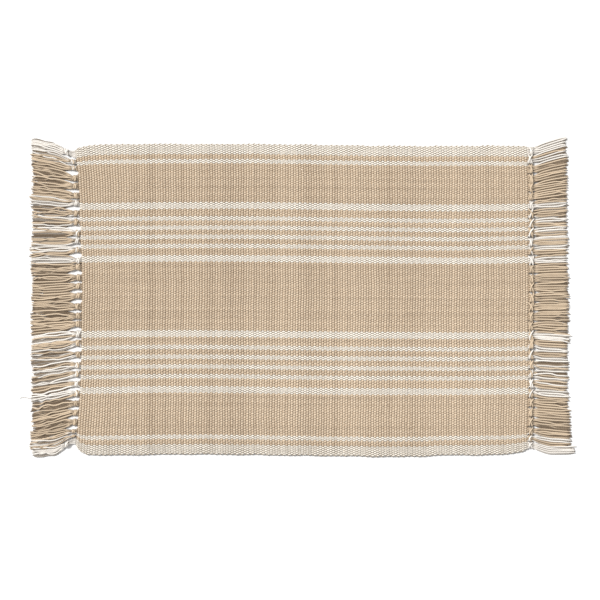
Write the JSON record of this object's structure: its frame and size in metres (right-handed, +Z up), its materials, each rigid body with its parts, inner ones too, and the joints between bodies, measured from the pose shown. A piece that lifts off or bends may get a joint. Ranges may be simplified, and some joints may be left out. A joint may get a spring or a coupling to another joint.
{
  "type": "bath mat",
  "caption": "Flat-woven rectangular bath mat with lengthwise tan and cream stripes and a knotted tassel fringe at both ends.",
  "frame": {"origin": "middle of the overall length and width, fringes included, on the surface that the mat lies on", "axes": "+X along the stripes, towards the shorter fringe; +Y across the stripes, towards the back selvedge; +Z up out of the face"},
  "size_m": [0.863, 0.5168, 0.0056],
  "materials": {
    "cream_yarn": "matt cotton rug yarn, undyed cream",
    "tan_yarn": "matt cotton rug yarn, heathered tan",
    "weft_cord": "matt soft cotton cord, hidden in the weave"
  },
  "bodies": {
    "root": {"cream_band_inner_back": "cream_yarn", "cream_band_inner_front": "cream_yarn", "cream_band_outer_back": "cream_yarn", "cream_band_outer_front": "cream_yarn", "cream_line_1_back": "cream_yarn", "cream_line_1_front": "cream_yarn", "cream_line_2_back": "cream_yarn", "cream_line_2_front": "cream_yarn", "cream_line_3_back": "cream_yarn", "cream_line_3_front": "cream_yarn", "cream_line_4_back": "cream_yarn", "cream_line_4_front": "cream_yarn", "cream_line_edge_back": "cream_yarn", "cream_line_edge_front": "cream_yarn", "cream_selvedge_back": "cream_yarn", "cream_selvedge_front": "cream_yarn", "fringe_high_01": "tan_yarn", "fringe_high_02": "tan_yarn", "fringe_high_03": "tan_yarn", "fringe_high_04": "tan_yarn", "fringe_high_05": "tan_yarn", "fringe_high_06": "tan_yarn", "fringe_high_07": "tan_yarn", "fringe_high_08": "tan_yarn", "fringe_high_09": "tan_yarn", "fringe_high_10": "tan_yarn", "fringe_high_11": "tan_yarn", "fringe_low_01": "tan_yarn", "fringe_low_02": "tan_yarn", "fringe_low_03": "tan_yarn", "fringe_low_04": "tan_yarn", "fringe_low_05": "tan_yarn", "fringe_low_06": "tan_yarn", "fringe_low_07": "tan_yarn", "fringe_low_08": "tan_yarn", "fringe_low_09": "tan_yarn", "fringe_low_10": "tan_yarn", "fringe_low_11": "tan_yarn", "tan_border_back": "tan_yarn", "tan_border_front": "tan_yarn", "tan_centre_panel": "tan_yarn", "tan_gap_1_back": "tan_yarn", "tan_gap_1_front": "tan_yarn", "tan_gap_2_back": "tan_yarn", "tan_gap_2_front": "tan_yarn", "tan_gap_3_back": "tan_yarn", "tan_gap_3_front": "tan_yarn", "tan_gap_inner_back": "tan_yarn", "tan_gap_inner_front": "tan_yarn", "tan_gap_outer_back": "tan_yarn", "tan_gap_outer_front": "tan_yarn", "tan_panel_back": "tan_yarn", "tan_panel_front": "tan_yarn", "weft": "weft_cord"}
  },
  "joints": []
}
